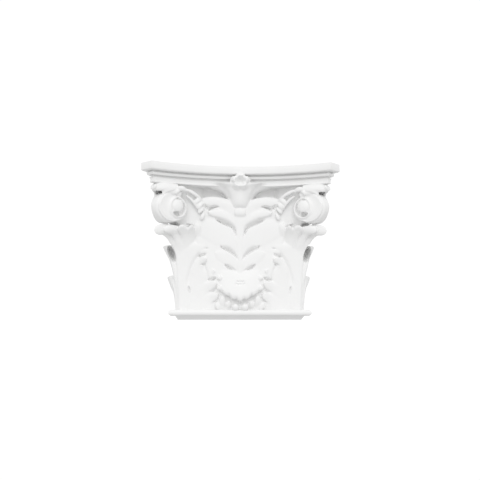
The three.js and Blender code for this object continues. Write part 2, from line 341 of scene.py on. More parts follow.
LEAF_STROKES = [
    Stroke([(94, 34), (86, 80), (73, 105), (50, 117)], 13, -8, 0.2, 1.0),
    Stroke([(78, 70), (68, 84), (52, 95)], 8.5, -5, 6, 2.0),
    Stroke([(66, 56), (56, 67), (39, 76)], 8.5, -5, 4, 1.2),
    Stroke([(68, 34), (56, 47), (36, 57)], 9, -5, 5, 1.8),
    Stroke([(64, 18), (52, 29), (34, 39)], 8.5, -5, 4, 1.2),
]
SIDE_STROKES = [
    Stroke([(94, 34), (88, 72), (78, 100), (60, 117)], 14, -3, 21, 2.0),
    Stroke([(80, 68), (70, 82), (56, 90)], 8.5, -5, 6, 2.0),
    Stroke([(90, 20), (80, 48), (62, 67)], 15, -2, 13, 2.5),
    Stroke([(66, 18), (54, 29), (40, 39)], 8.5, -5, 3, 1.2),
]
LEAF_FOLDS = [
    Fold([(57, 109.5), (53, 111), (48.5, 110.5)], 2.2, 5),
    Fold([(68, 97), (60, 100.5), (51.5, 103)], 3.6, 7),
    Fold([(63, 83.5), (58, 86), (52.5, 87.5)], 3.2, 6.5),
    Fold([(52.5, 60.5), (45, 63.3), (36, 65.5)], 4.4, 9),
    Fold([(49.5, 43), (44, 44.5), (38, 45)], 2.4, 4.5),
    Fold([(42.5, 27), (38.5, 28), (35, 27.5)], 2.0, 3),
    Fold([(77, 38.5), (79.3, 45), (80.5, 53)], 2.6, 7),
]
BRANCH_STROKES = [
    Stroke([(0, 80), (17, 92), (38, 104)], 10, 1.5, 2.5, 0.8),
    Stroke([(0, 110), (20, 125), (42, 137), (70, 149)], 19, 1.5, 3.0, 1.2),
    Stroke([(3, 146), (20, 159), (36, 165), (50, 166)], 8, 0, 6, 2.0),
    Stroke([(4, 158), (18, 178), (42, 184), (72, 180)], 9.5, 0, 5.5, 2.5),
]
BRANCH_FOLDS = [
    Fold([(3.2, 69.8), (7, 75.6), (12.5, 79.6), (19.4, 83.6), (25.6, 86.6)], 4.6, 8),
    Fold([(2.6, 88.5), (5.5, 97), (10, 103.8), (16.8, 109.6), (28.7, 113.6), (33.2, 115.2)],
         5.4, 9),
    Fold([(4.5, 122), (6.5, 133), (10.6, 144.8), (23.6, 152.6), (34.7, 157), (45, 161)], 6.0, 11),
    Fold([(29, 175), (39, 176.8), (46.6, 174.2), (50, 169)], 3.3, 12.5),
    Fold([(46.5, 168), (51, 174), (55.5, 180)], 3.0, 6),
]
BRANCH_BUDS = [
    Stroke([(18, 84), (21, 85.5), (24.5, 87)], 2.0, -3, 1.8, 1.0),
    Stroke([(19, 109.5), (23.5, 112), (28, 114)], 2.4, -3, 1.8, 1.0),
    Stroke([(30, 154.5), (36, 157.5), (42, 160)], 2.6, -3, 2.5, 1.0),
]

SHEET = 2.5  # the branching leaf between its lobes
SHEET_CREST = (48, 190.5)  # the highest point of its arched top, across and up
SHEET_FALL = (18, 48), (8, 24)  # how far the top falls over what distance, inward and outward
SHEET_TOP, SHEET_FOOT = (0, 4), (40, 12)
SHEET_LAP = 6  # how far it runs on past the corner leaf's inner outline
STEM = [(4.0, 60), (4.5, 95), (6.0, 130), (9.0, 165)]
STEM_LOW, STEM_HIGH = 60, 172
STEM_LEVEL, STEM_CROWN, STEM_BLEND = 3.6, 1.5, 1.5

STROKE_MARGIN = 2  # how far past a stroke's half width it is worked out
STROKE_CLIMB = 1.7
STROKE_FROM, STROKE_EDGE, STROKE_BLEND = (0, 0.15), (1, -0.12), 1.4
ROLL_DEPTH, ROLL_OFF = 2.5, (0.7, 0.3)
FOLD_LEAN = 1.4
FOLD_LEAST = 0.08
FOLD_DEEP = 0.65  # the deepest line's distance from the fold's line, over its half width
FOLD_STEEP = (-1, 0.35)
FOLD_FROM, FOLD_TO = (0, 0.25), (1, -0.12)


def follow(x, z, path, margin):
    """Where points lie beside a curve: a mask of those near it, their place along, and aside."""
    line = spline(path, 64)
    low, high = line.min(axis=0) - margin, line.max(axis=0) + margin
    near = (x > low[0]) & (x < high[0]) & (z > low[1]) & (z < high[1])
    here = xyz(x[near], z[near])
    nearest = ((here[:, None] - line[None]) ** 2).sum(axis=2).argmin(axis=1)
    along = np.gradient(line, axis=0)[nearest]
    pace = np.linalg.norm(along, axis=1)
    rest = here - line[nearest]
    t = (nearest + (rest * along).sum(axis=1) / pace**2) / (len(line) - 1)
    aside = (along[:, 0] * rest[:, 1] - along[:, 1] * rest[:, 0]) / pace
    return near, t, aside


def raise_strokes(x, z, height, strokes, root):
    """Lays lobes on a height field.

    A lobe climbs from its low to its high level and is crowned as 1 - v², with its edge rolled off;
    v is the distance from its line over its half width.
    """
    for stroke in strokes:
        near, t, aside = follow(x, z, stroke.path, stroke.half + STROKE_MARGIN)
        v = np.abs(aside) / (stroke.half * swell(np.clip(t, 0, 1), root))
        level = mix(stroke.low, stroke.high, np.clip(t, 0, 1) ** STROKE_CLIMB)
        top = level + stroke.crown * (1 - v * v) - ROLL_DEPTH * ramp(v, *ROLL_OFF)
        laid = ramp(t, *STROKE_FROM) * ramp(v, *STROKE_EDGE) * (t < 1.0)
        height[near] = mix(height[near], soft_max(height[near], top, STROKE_BLEND), laid)
    return height


def cut_folds(x, z, height, folds, side):
    """Cuts folds in a height field.

    Across a fold the floor drops steeply on one side, and on the other climbs as a parabola that
    runs out level. Along it the width grows and closes as a sine, and the depth fades at both ends.
    """
    for fold in folds:
        near, t, aside = follow(x, z, fold.path, fold.half + STROKE_MARGIN)
        t = np.clip(t, 0, 1)
        taper = np.sin(np.pi * np.clip(t, 0.02, 0.98) ** FOLD_LEAN)
        v = side * aside / (fold.half * np.maximum(taper, FOLD_LEAST))
        climb = np.clip((v + FOLD_DEEP) / (1 + FOLD_DEEP), 0, 1)
        floor = ramp(v, *FOLD_STEEP) * (1 - climb) ** 2
        height[near] -= fold.depth * floor * ramp(t, *FOLD_FROM) * ramp(t, *FOLD_TO)
    return height


def profile_at(z, pairs):
    """The first value of the pairs, along a smooth curve at the height given by the second."""
    value, up = spline(pairs, 80).T
    return np.interp(z, up, value)


def bell_level(z):
    """How far the bare bell stands off the shaft's faces at a height."""
    return mix(BELL, RECESS, ramp(z, *BELL_STEP))


def leaf_height(x, z, strokes):
    """A corner leaf over half a face: blade by the corner, body inward of the groove, and lobes."""
    groove_x, groove_z = spline(LEAF_GROOVE, 60).T
    bell = bell_level(z)
    ground = mix(GROUND, bell, ramp(z, *GROUND_END))
    ground = mix(ground, bell, ramp(x, *GROUND_MIDDLE) * ramp(z, *GROUND_LOW))
    inward = x - profile_at(z, LEAF_INNER)
    body = mix(ground, profile_at(z, LEAF_BODY), ramp(inward, *BODY_EDGE))
    blade = profile_at(z, LEAF_PROFILE)
    height = mix(body, blade, ramp(x - np.interp(z, groove_z, groove_x), *BLADE_EDGE))
    height = mix(ground, height, ramp(z, *LEAF_END))
    height = raise_strokes(x, z, height, strokes, LEAF_ROOT)
    near, t, aside = follow(x, z, LEAF_GROOVE, GROOVE_MARGIN)
    groove = GROOVE_DEPTH * hump(aside, 0, GROOVE_WIDTH)
    height[near] -= groove * ramp(t, *GROOVE_FROM) * ramp(t, *GROOVE_TO)
    return height


def branch_height(x, z):
    """The branching leaf up the middle: a sheet under an arched top, lobes, a stem and folds."""
    beside = x - SHEET_CREST[0]
    inward, outward = (fall * (beside / span) ** 2 for fall, span in SHEET_FALL)
    top = SHEET_CREST[1] - np.where(beside < 0, inward, outward)
    lap = profile_at(z, LEAF_INNER) + SHEET_LAP - x
    cover = ramp(top - z, *SHEET_TOP) * ramp(z, *SHEET_FOOT) * ramp(lap, 0, 2 * SHEET_LAP)
    height = mix(bell_level(z), SHEET, cover)
    height = raise_strokes(x, z, height, BRANCH_STROKES, BRANCH_ROOT)
    half = profile_at(z, STEM)
    stem = STEM_LEVEL - STEM_CROWN * (x / half) ** 2
    on_stem = (x < half) & (z < STEM_HIGH) & (z > STEM_LOW)
    height = np.where(on_stem, soft_max(height, stem, STEM_BLEND), height)
    height = cut_folds(x, z, height, BRANCH_FOLDS, 1)
    return raise_strokes(x, z, height, BRANCH_BUDS, BUD_ROOT)


def around(s, w, out):
    """The plan: w runs round the bell from the front's middle, and out stands off its faces.

    Near a corner the standing-off turns from one face to the other along a smooth step.
    """
    beside = np.abs(w)
    u = np.abs(beside - s.shaft_half)
    aside = smooth(1 - u / CORNER_ROUND)
    on_front = beside <= s.shaft_half
    x = np.where(on_front, beside + out * aside, s.shaft_half + out)
    reach = np.where(on_front, out, -u + out * aside)
    return np.sign(w) * x, reach


RELIEF_STEP = 0.85
RELIEF_BACK = -18.0
RELIEF_LAP = 2  # how far the relief runs on past the wall and into the abacus
RELIEF_SINK = 7  # and into the astragal


def bell_relief(s):
    """The carved faces as one slab: a height field round the front and sides, on a hidden back.

    A point nearer to a corner than its cut's width moves in by half of what is missing, both ways.
    """
    end = s.shaft_half - s.wall_reach + RELIEF_LAP
    w = np.linspace(-end, end, int(2 * end / RELIEF_STEP))
    z = np.arange(s.bell_foot - RELIEF_SINK, s.abacus_foot + RELIEF_LAP, RELIEF_STEP)
    w, z = np.meshgrid(w, z, indexing="ij")
    beside = np.abs(w)
    front = beside <= s.shaft_half
    folded = np.where(front, beside, 2 * s.shaft_half - beside)
    carved = np.maximum(leaf_height(folded, z, LEAF_STROKES), branch_height(folded, z))
    carved = cut_folds(folded, z, carved, LEAF_FOLDS, -1)
    height = np.where(front, carved, leaf_height(folded, z, SIDE_STROKES))
    x, reach = around(s, w, height)
    cut = 0.5 * np.clip(profile_at(z, CHAMFER) - np.abs(beside - s.shaft_half), 0, None)
    outer = xyz(x - np.sign(x) * cut, reach - cut, z)
    inner = xyz(*around(s, w, RELIEF_BACK), z)
    return loft(np.concatenate([outer, inner[:, ::-1]], axis=1))


# The corner leaf's curled tip

LEAF_HALF = 30.0
FINGER_GROOVES = [5.2, 12.5, 20.5, 29.5]  # places along a face from the corner, between fingers
FINGER_ROUND = 0.6
FINGER_DRAW = (9.5, 6.5)  # how far it is drawn in between fingers, on the curl and the flare
CURL_HALF, TIP_MIDDLE = 4, 18.0  # the curl's end and the middle section, from the corner
FLARE_FROM = (11, 5)
FLARE_DROP = -7.0
CURL_HEIGHT, CURL_BLEND = 135, 5
CURL_LIFT = (5.0, -2.0)  # under and over the curl's middle height
TIP_SECTIONS = [  # at the corner, at the middle section and at the end
    [(-9, 96), (1, 98), (4, 108), (8.5, 117), (14.5, 125.5), (20, 129), (24.5, 128.5), (29, 130),
     (31.5, 135), (30, 141), (23.5, 145), (8, 144.5), (-9, 134)],
    [(-9, 96), (0, 98), (2.3, 108), (5.4, 118), (10, 127.3), (14, 133.3), (17.6, 138),
     (20.5, 141.5), (21.3, 144.5), (17.8, 145.6), (11, 143.5), (3, 139.5), (-9, 132)],
    [(-9, 104), (-3, 106), (-1.5, 113), (1, 121), (4, 129), (8, 135.5), (11, 139.5), (13.5, 143),
     (13.5, 145.5), (11, 145.5), (7, 143), (0.5, 138), (-9, 132)],
]
TIP_SHARE = [0, 0, 0, 0.1, 0.5, 0.85, 1, 1, 1, 0.8, 0.4, 0.05, 0]


def leaf_tip(s):
    """The tip: a closed section carried round the corner, from a deep curl to a plain flare.

    Between fingers the section is drawn in by its tip share times a scallop, 1 less a power of
    |cos| of the place over a finger. The curl's fingers are also drawn up, and the flare's down.
    """
    u = np.linspace(-LEAF_HALF, LEAF_HALF, 360)
    beside = np.abs(u)
    count = np.maximum(np.arange(len(FINGER_GROOVES) + 1) - 0.5, 0)
    finger = np.interp(beside, [0.0, *FINGER_GROOVES], count)
    scallop = 1 - np.abs(np.cos(np.pi * finger)) ** FINGER_ROUND
    flare = ramp(beside, *FLARE_FROM)[:, None]
    corner, middle, end = np.array(TIP_SECTIONS, float)
    first = ramp(beside, CURL_HALF, TIP_MIDDLE - CURL_HALF)[:, None, None]
    second = np.clip((beside - TIP_MIDDLE) / (LEAF_HALF - TIP_MIDDLE), 0, 1)[:, None, None]
    sections = mix(mix(corner, middle, first), end, second)
    shares = np.broadcast_to(np.array(TIP_SHARE, float), sections.shape[:2])
    curves = np.stack([spline(key, 96) for key in np.dstack([sections, shares])])
    out, z, tip = curves[..., 0], curves[..., 1], np.clip(curves[..., 2], 0, 1)
    drawn = tip * scallop[:, None]
    out = out - drawn * mix(*FINGER_DRAW, flare)
    curl = np.where(z < CURL_HEIGHT, *CURL_LIFT) * ramp(np.abs(z - CURL_HEIGHT), 0, CURL_BLEND)
    z = z + drawn * mix(curl, FLARE_DROP, flare)
    return loft(xyz(*around(s, (s.shaft_half - u)[:, None], out), z))


# The volutes

UP = np.array([0.0, 0.0, 1.0])
SCROLL_TILT = math.radians(30)
FACE_ACROSS = np.array([math.cos(SCROLL_TILT), math.sin(SCROLL_TILT), 0.0])
FACE_OUT = np.array([-math.sin(SCROLL_TILT), math.cos(SCROLL_TILT), 0.0])
# Radii round the eye, by turns from the top outward
SCROLL_TURN = [0.0, 0.12, 0.25, 0.38, 0.5, 0.62, 0.75, 0.88, 1.0]
SCROLL_EDGE = [20.5, 28.0, 31.0, 26.2, 20.6, 18.8, 17.5, 17.2, 20.5]
SCROLL_HOLLOW = [15.2, 11.8, 10.0, 11.6, 14.0, 14.6, 14.4, 14.6, 15.2]
EDGE_SOFT = 5  # neighbours on each side that the edge is evened out over
EYE = np.array([96.6, 24.7, 171.0])
EYE_PLACE = (-0.9, 2.6)  # the ball's place on the face, across and up from the turning centre
EYE_RADIUS, EYE_FLAT, EYE_SINK = 10.2, 0.5, 2.3
BAND_LEVEL, BAND_HOLLOW = -1.0, 1.5
STEP_DEPTH = 1.3  # of the step along the band's outer edge
STEP_INSET, STEP_FROM, STEP_TO = (-4.0, 0.8), (0.22, 0.06), (0.5, -0.06)
RIM_HEIGHT, RIM = 2.4, (1.2, 1.6)
FLOOR_LEVELS, FLOOR_CLIMB = (-6.0, -1.0), (-1.0, 5)
HOLLOW_WALL = (-1.4, 1.6)
ARRIS_DROP, ARRIS_FROM = 1.5, (0.94, 0.06)
BEAD_HEIGHT, BEAD = 1.6, (0.1, 0.06)  # the bead along each edge of the volute's outside
OUTSIDE_SWELL, OUTSIDE_FROM = 1.5, (0, 0.3)


def scroll_face(radius, turn):
    """How far the volute's face stands out.

    A hollowed band has a rim round its hollow. In that lies the flattened ball of the eye, on a
    floor that climbs to the band on the outer side.
    """
    inner, outer = (np.interp(turn, SCROLL_TURN, radii) for radii in (SCROLL_HOLLOW, SCROLL_EDGE))
    across, up = radius * np.sin(2 * np.pi * turn), radius * np.cos(2 * np.pi * turn)
    place = np.clip((radius - inner) / np.maximum(outer - inner, 1), 0, 1)
    band = BAND_LEVEL - BAND_HOLLOW * np.sin(np.pi * place)
    step = STEP_DEPTH * ramp(radius - outer, *STEP_INSET)
    band = band - step * ramp(turn, *STEP_FROM) * ramp(turn, *STEP_TO)
    rim = RIM_HEIGHT * hump(radius - inner, *RIM)
    floor = mix(*FLOOR_LEVELS, ramp(across, *FLOOR_CLIMB))
    face = mix(floor, band, ramp(radius - inner, *HOLLOW_WALL)) + rim
    from_eye = np.hypot(across - EYE_PLACE[0], up - EYE_PLACE[1])
    ball = EYE_FLAT * np.sqrt(np.clip(EYE_RADIUS**2 - from_eye**2, 0, None)) - EYE_SINK
    return np.where(from_eye < EYE_RADIUS, np.maximum(face, ball), face)


def scroll(s):
    """A volute: its two carved faces and the outside between, beaded at its edges and swelling."""
    turn = np.linspace(0, 1, 160, endpoint=False)
    edge = np.interp(turn, SCROLL_TURN, SCROLL_EDGE)
    shifts = range(-EDGE_SOFT, EDGE_SOFT + 1)
    edge = sum(np.roll(edge, k) for k in shifts) / len(shifts)
    share = np.concatenate([np.linspace(0.01, 0.97, 64), [0.985, 1.0]])[:, None]
    radius = share * edge
    out = scroll_face(radius, turn) - ARRIS_DROP * ramp(share, *ARRIS_FROM)
    angle = np.pi / 2 - 2 * np.pi * turn
    wide = (radius * np.cos(angle))[..., None] * FACE_ACROSS
    high = (radius * np.sin(angle))[..., None] * UP
    front = EYE + (wide + high) + out[..., None] * FACE_OUT
    side = round_corner(s, front)
    across = np.linspace(0, 1, 40)[1:-1]
    gap = np.minimum(across, 1 - across)
    inward = BEAD_HEIGHT * hump(gap, *BEAD) - OUTSIDE_SWELL * ramp(gap, *OUTSIDE_FROM)
    outside = mix(front[-1][None], side[-1][None], across[:, None, None])
    outside += unit(outside.mean(axis=1, keepdims=True) - outside) * inward[:, None, None]
    return loft(np.concatenate([front, outside, side[::-1]]))


WEB = [  # how far inside the volute's edge, and the height
    (24, 128), (23, 140), (22, 147), (15, 152), (6, 160), (5, 171), (8, 181), (18, 187), (21, 192),
    (19, 197), (6, 203), (-2, 209),
]
WEB_ROOTS = [(54, -16), (62, -7)]  # places on and in the bell, across and out
WEB_EDGE = (116, 30)


def scroll_web(s):
    """The plaster behind the volute, from the leaf to the horn: outlines from the bell out."""
    inset, z = spline(WEB, 90).T
    edge = WEB_EDGE[0] - inset, WEB_EDGE[1] - inset
    front = [xyz(*place, z) for place in (*WEB_ROOTS, edge)]
    side = [round_corner(s, outline) for outline in reversed(front)]
    return loft(np.stack(front + side, axis=1))


STALK_CURVES = [
    [(53, 2, 155), (58, 5, 170), (63, 9, 183), (70, 12, 190), (80, 16, 196.5), (92, 20, 198),
     (104, 25, 197), (111, 27, 195)],
    [(54, 2, 147), (66, 5, 160), (75, 8, 171), (84, 11, 179), (93, 13, 185), (104, 17, 187)],
    [(54, 0, 137), (67, 3, 144), (79, 5, 148), (89, 5, 152), (99, 6, 158), (104, 8, 166)],
]
INSIDE = -16  # the reach of the hidden back of a carved form, inside the bell
STALK_LOBES = [
    ([(56.5, 5, 167), (58.5, 7.5, 161), (61.5, 6, 154)], 3.4, 2.2),
    ([(57.5, 7, 175), (61.5, 10, 169.5), (66, 9, 165)], 3.6, 2.2),
    ([(59, 9, 182), (63.5, 12, 176.5), (68.5, 10.5, 171)], 4.2, 2.8),
    ([(61, 10.5, 187), (67, 14, 183.5), (72, 13, 178)], 3.8, 2.8),
    ([(84, 19, 190.5), (78, 17, 186.5), (71.5, 14, 179.5), (68, 11, 172.5)], 2.2, 2.6),
    ([(62, 12, 187), (68, 15.5, 191.5), (76, 19, 196), (84, 23, 199.5)], 2.8, 3.0),
    ([(83, 22, 197), (89, 26.5, 200), (97, 28, 200.5)], 3.7, 3.4),
    ([(92, 25, 198), (97, 28, 195), (99.5, 27, 190.5)], 2.7, 2.8),
    ([(96, 26, 199), (106, 30, 198.5), (114, 31.5, 195.5), (120, 31, 189.5)], 3.6, 3.0),
]
BACKING = [
    ([(63, -7, 120), (66, -0.5, 133), (67, 3.5, 146), (66.5, 0, 155)], 6.5, 4.4),
    ([(92, 20, 192), (103, 25, 195), (115, 27, 195)], 5.0, 4.2),
]
HORN_LEAF = [(96, 25, 202), (108, 29, 202.5), (122, 31.5, 202), (138.5, 30, 200.5)]
HORN_HALF, HORN_RISE, HORN_FACING = 7.4, 4.4, (-0.25, 0.9, 0.35)


def stalk_leaf():
    """The broad stalk that feeds the volute, the leaf along its edge, and the leaf under the horn.

    The stalk is a sheet by the parabola through its upper, middle and lower curve.
    """
    upper, middle, foot = (spline(curve, 60)[:, None] for curve in STALK_CURVES)
    across = np.linspace(0, 1, 24)[None, :, None]
    front = (1 - across) * (1 - 2 * across) * upper + 4 * across * (1 - across) * middle
    front = front + across * (2 * across - 1) * foot
    behind = front[:, ::-1] * (1, 0, 1) + (0, INSIDE, 0)
    stalk = loft(np.concatenate([front, behind], axis=1))
    horn = lobe(HORN_LEAF, HORN_HALF, HORN_RISE, root=0.7, cup=0.1, facing=HORN_FACING)
    return [stalk, *lobes(STALK_LOBES, root=0.7, cup=0.15), horn]


CUP_TILT = math.radians(24)
CUP_MIDDLE = (8.6, 105.0)  # how far out from the side face, and the height
CUP_SIZE = (7.6, 21.0)
CUP_MOUTH, CUP_LENGTH, CUP_RISE = 108, 46, 4
PIT_PLACE = (0.6, -9.8)  # across and up from the turning centre
PIT_RUN = (9, -2, -11)  # how far out of the face the pit's line lies
PIT_SIZE = (7.4, 4.4)


def hollows(s):
    """The hollow behind each curled lobe of the sides, and the pit under each eye.

    A hollow is a slanting ellipse that runs back, and narrows as the root of the length left.
    """
    back = np.linspace(0, 0.995, 40)[:, None]
    turn = np.linspace(0, 2 * np.pi, 36, endpoint=False)
    narrow = np.sqrt(1 - back)
    short, long = CUP_SIZE[0] * narrow * np.cos(turn), CUP_SIZE[1] * narrow * np.sin(turn)
    lean, stand = math.sin(CUP_TILT), math.cos(CUP_TILT)
    out = CUP_MIDDLE[0] + short * stand + long * lean
    z = CUP_MIDDLE[1] + long * stand - short * lean + CUP_RISE * back
    cup = to_side(s, loft(xyz(CUP_MOUTH - CUP_LENGTH * back, out, z)))
    mouth = EYE + PIT_PLACE[0] * FACE_ACROSS + PIT_PLACE[1] * UP
    pit = lobe([mouth + reach * FACE_OUT for reach in PIT_RUN], *PIT_SIZE, facing=UP)
    return mesh_object(s, "hollows", both_halves([cup, pit, to_side(s, pit)]))


# The flower and its calyx

CALYX = [  # half width, reach at the middle, height
    (12, 3, 173.5), (15, 8, 176), (17, 11, 180.5), (18.8, 12.5, 186), (22, 13.3, 192),
    (26.5, 14, 198), (33, 15, 203), (41, 16, 206), (48, 17.5, 208.5), (53, 18, 211),
]
CALYX_ENDS = [173, 190, 205, 212], [-4, -6, 0, 6]  # heights, and the reach of a ring's ends
CALYX_BULGE = 0.8
CALYX_CREASE = (0.76, 0.1)
CREASE_DEPTH = [176, 190, 211], [0, 1.0, 2.0]  # by height
CALYX_TIPS = [0, 0.3, 0.7, 0.85, 1], [0, 0.5, 3.0, 1.0, -2.0]  # lift, by the place across
TIPS_FROM = (196, 14)
BUD = [(0, 1, 174), (0, 5, 170), (0, 5, 166), (0, 1.5, 159)]
BUD_SIZE = (9, 2.6)  # half width and rise


def calyx():
    """Level rings that flare to two creased leaves under the abacus, and the bud below.

    A ring bulges to its middle reach as a power of 1 - v², where v is the place across.
    """
    half, middle, z = spline(CALYX, 60).T
    v = np.linspace(-1, 1, 101)
    crease = hump(np.abs(v), *CALYX_CREASE) * np.interp(z, *CREASE_DEPTH)[:, None]
    bulge = (1 - v * v) ** CALYX_BULGE
    reach = mix(np.interp(z, *CALYX_ENDS)[:, None], middle[:, None], bulge) - crease
    x = half[:, None] * v
    tips = np.interp(np.abs(v), *CALYX_TIPS)
    height = z[:, None] + tips * ramp(z, *TIPS_FROM)[:, None]
    front, back = xyz(x, reach, height), xyz(x, INSIDE, height)[:, ::-1]
    return [loft(np.concatenate([front, back], axis=1)), lobe(BUD, *BUD_SIZE, root=0.8)]


FLOWER = np.array([0.0, 15.5, 213.8])
FLOWER_SIZE = (16.5, 14.2)
PETALS = 5
PETAL_RIM = (0.74, 0.26)  # the rim's radius in the valleys, and what a petal adds
PETAL_CROWN = (0.6, 0.4)  # the petals' height in the valleys, and what a petal adds
PETAL_HEIGHT, PETAL_CURVE = 10.0, (0.62, 0.27)
FLOWER_FLOOR, FLOWER_DEPTH = -1.5, 12
FLOWER_CLOSE = 0.35  # how far the back draws in


def flower():
    """The flower: an oval of petals round a hollow, each petal bent back at its edge.

    The petals stand out as a bell curve of the place from the middle. The rim is scalloped, and the
    valleys cut, by the root of |cos| of half the turn times the number of petals.
    """
    angle = np.linspace(0, 2 * np.pi, 180, endpoint=False)
    petal = np.sqrt(np.abs(np.cos((angle - np.pi / 2) * PETALS / 2)))
    inside = np.linspace(0.03, 1, 32)[:, None]
    outside = np.linspace(0, 1, 16)[1:, None]
    radius = np.concatenate([inside, 1.0 - FLOWER_CLOSE * outside**1.5])
    radius = radius * (PETAL_RIM[0] + PETAL_RIM[1] * petal)
    crown = PETAL_CROWN[0] + PETAL_CROWN[1] * petal
    inner = FLOWER_FLOOR + PETAL_HEIGHT * hump(inside, *PETAL_CURVE) * crown
    reach = np.concatenate([inner, inner[-1] - FLOWER_DEPTH * outside])
    x, z = FLOWER_SIZE[0] * radius * np.cos(angle), FLOWER_SIZE[1] * radius * np.sin(angle)
    return loft(FLOWER + xyz(x, reach, z))


# The overturned leaf at the foot

BIB_HALF = 34.0
BIB_SECTION = [  # reach, height, the scallops' share, and the lift at the sides
    (-9, 66, 0, 8), (-4, 72, 0, 8), (-0.5, 75, 0, 8), (2.4, 73.5, 0, 8), (4.8, 69.5, 0, 8),
    (6.8, 63.5, 0, 8), (8.5, 56.5, 0, 8), (10, 49, 0, 9), (11.3, 41.5, 0, 11), (11.9, 36, 0.1, 14),
    (11.5, 32, 0.7, 17.5), (9.8, 28.8, 1, 18), (6.5, 27.6, 1, 18), (1.0, 26.8, 0.8, 18),
    (0.0, 23.8, 0.3, 17), (1.6, 21, 0, 10), (2.0, 17.5, 0, 4), (1, 14.5, 0, 0), (-9, 13, 0, 0),
]
BIB_CURVE = 1.4
BIB_FLARE = 0.9
SCALLOPS = 6
SCALLOP_ROUND, SCALLOP_END = 0.7, (1, -0.3)
SCALLOP_IN, SCALLOP_UP = 1.5, 3.0
CREASES = ((58.0, 7.0), (54.0, 8.2))  # height and half length of the two short creases
CREASE_CUT, CREASE_WIDTH, CREASE_END = 2.6, 1.1, -2
CREASED_FROM = 5  # the reach past which the leaf's face is creased


def bib():
    """The leaf that turns over at the foot: a closed section carried across, with a scalloped lip.

    Towards the sides it is lifted as a power of the place across, and drawn back to the bell.
    """
    t = np.linspace(-1, 1, 260)
    reach, z, tip, rise = spline(BIB_SECTION, 140).T
    scallop = 1 - np.abs(np.cos(np.pi * t * SCALLOPS / 2)) ** SCALLOP_ROUND
    scallop = scallop * ramp(np.abs(t), *SCALLOP_END)
    drawn = np.clip(tip, 0, 1) * scallop[:, None]
    x = (BIB_HALF * t)[:, None]
    flare = np.sqrt(1 - BIB_FLARE * t * t)[:, None]
    out = np.where(reach > 0, reach * flare, reach) - SCALLOP_IN * drawn
    for level, half in CREASES:
        crease = CREASE_CUT * hump(z, level, CREASE_WIDTH) * ramp(np.abs(x), half, CREASE_END)
        out = out - crease * (reach > CREASED_FROM)
    lift = rise * (np.abs(t) ** BIB_CURVE)[:, None]
    return loft(xyz(x, out, z + lift + SCALLOP_UP * drawn))


FOOT_LOBES = [  # under the overturned leaf and beside it, on the right half
    ([(5.5, 3, 13.5), (7, 8, 17.5), (7.5, 10.5, 24)], 5.2, 3.4, 0.8),
    ([(15, -3, 15), (17.5, 2.5, 22), (18.5, 5, 30)], 4.2, 2.6, 0.8),
    ([(24, -2, 16), (27, 4, 26), (27.5, 6.5, 37)], 4.5, 2.8, 0.8, 0.2),
    ([(20, -4, 13), (30, 1, 19), (38, 3.5, 26)], 6.0, 3.2, 0.8),
    ([(26, 0, 46), (31, 6, 49), (36, 7, 50)], 4.0, 3.0, 0.7, 0.2),
    ([(26, 0, 60), (31, 5, 64), (36, 6, 66)], 3.5, 3.0, 0.7, 0.2),
]


# The run mouldings

FOOT_CHAMFER = [(-2.6, 2.4), (-0.4, 5.2)]  # standing-off and height
BELL_FILLET = [(-4, 0), (-5.5, 1)]  # standing-off, and height over the astragal
BELL_CURVE = [(-7, 60), (BELL, 120), (BELL, 184), (RECESS, 193)]
BELL_LAP = 6  # how far the bell runs up into the abacus


def bell_moulding(s):
    """The bell and its foot: a profile of standing-off and height carried round the square plan."""
    turn = np.linspace(-np.pi / 2, np.pi / 2, 24)
    half_up, half_out = s.astragal / 2, s.astragal_reach / 2
    bead_out = half_out + half_out * np.cos(turn)
    bead_up = s.foot + half_up + half_up * np.sin(turn)
    foot = [(s.bed_half - s.shaft_half, 0), *FOOT_CHAMFER, (0, s.foot)]
    fillet = [(out, s.bell_foot + up) for out, up in BELL_FILLET]
    rise = [*fillet, *BELL_CURVE, (RECESS, s.abacus_foot + BELL_LAP)]
    out, z = np.concatenate([foot, xyz(bead_out, bead_up), rise]).T
    edge, back = s.shaft_half + out, s.wall_reach
    corners = [(-edge, back), (-edge, out), (edge, out), (edge, back)]
    return loft(np.stack([xyz(*corner, z) for corner in corners], axis=1))


ABACUS_BEAD = [(13.5, 1.2), (12.4, 1.3), (11.0, 1.9), (10.6, 2.8), (11.0, 3.6)]  # inset, height
CAVETTO_FOOT, CAVETTO_SIZE = (11.3, 4.2), (1.7, 5.2)
ABACUS_STEPS = [
    (9.8, 9.7), (12.4, 9.9), (12.4, 12.4), (7.8, 12.8), (7.4, 13.2), (6.6, 16.2), (7.0, 16.6),
    (9.4, 16.8), (9.4, 18.8), (5.5, 19.2), (1.4, 19.4), (0.9, 19.7), (0.2, 20.6), (0, 21.2),
]
ABACUS_TOP = [(0, -1.0), (0.3, -0.3), (1.0, 0)]  # heights from the top


def abacus_profile(s):
    """The abacus's mouldings from its foot to its top, as insets from the top's outline."""
    foot = (0, s.abacus_foot)
    turn = np.linspace(0, np.pi / 2, 10)
    inset = CAVETTO_FOOT[0] - CAVETTO_SIZE[0] * (1 - np.cos(turn))
    up = s.abacus_foot + CAVETTO_FOOT[1] + CAVETTO_SIZE[1] * np.sin(turn)
    lower, upper = np.add(ABACUS_BEAD, foot), np.add(ABACUS_STEPS, foot)
    top = np.add(ABACUS_TOP, (0, s.height))
    return np.concatenate([lower, xyz(inset, up), upper, top])


